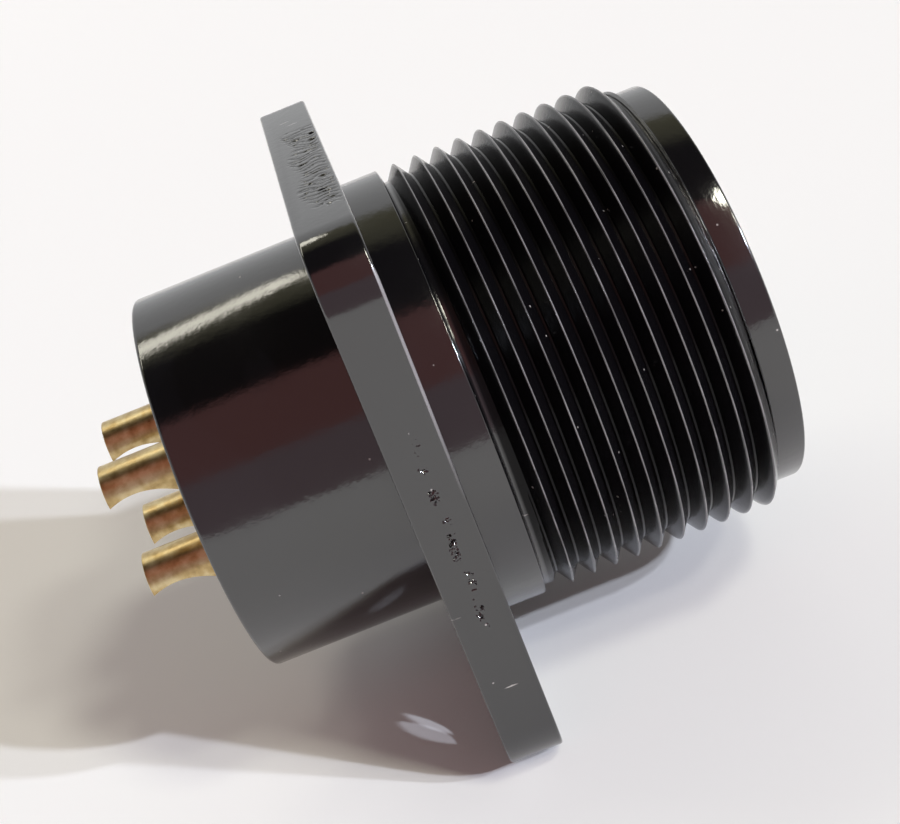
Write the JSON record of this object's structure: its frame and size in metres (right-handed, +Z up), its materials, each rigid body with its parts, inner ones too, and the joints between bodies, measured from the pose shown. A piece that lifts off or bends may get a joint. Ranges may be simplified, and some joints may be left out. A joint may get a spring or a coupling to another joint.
{
  "type": "flange-mounted circular connector receptacle",
  "caption": "Glossy black moulded circular receptacle with a square fixing flange, a coarse external coupling thread, male pins in front and brass solder cups behind.",
  "frame": {"origin": "centre of the flange's rear face, in the middle of the four fixing holes", "axes": "+X along the mating axis towards the threaded end, +Z up and square to the flange's top side, +Y level"},
  "size_m": [0.0416, 0.0364, 0.0364],
  "materials": {
    "shell": "glossy black phenolic moulding",
    "insulator": "satin black moulding",
    "contact": "turned, lightly gold plated",
    "ring": "stamped spring steel"
  },
  "bodies": {
    "root": {"shell": "shell", "front_insulator": "insulator", "rear_insulator": "insulator", "retaining_ring": "ring", "contact_1": "contact", "contact_2": "contact", "contact_3": "contact", "contact_4": "contact"}
  },
  "joints": []
}
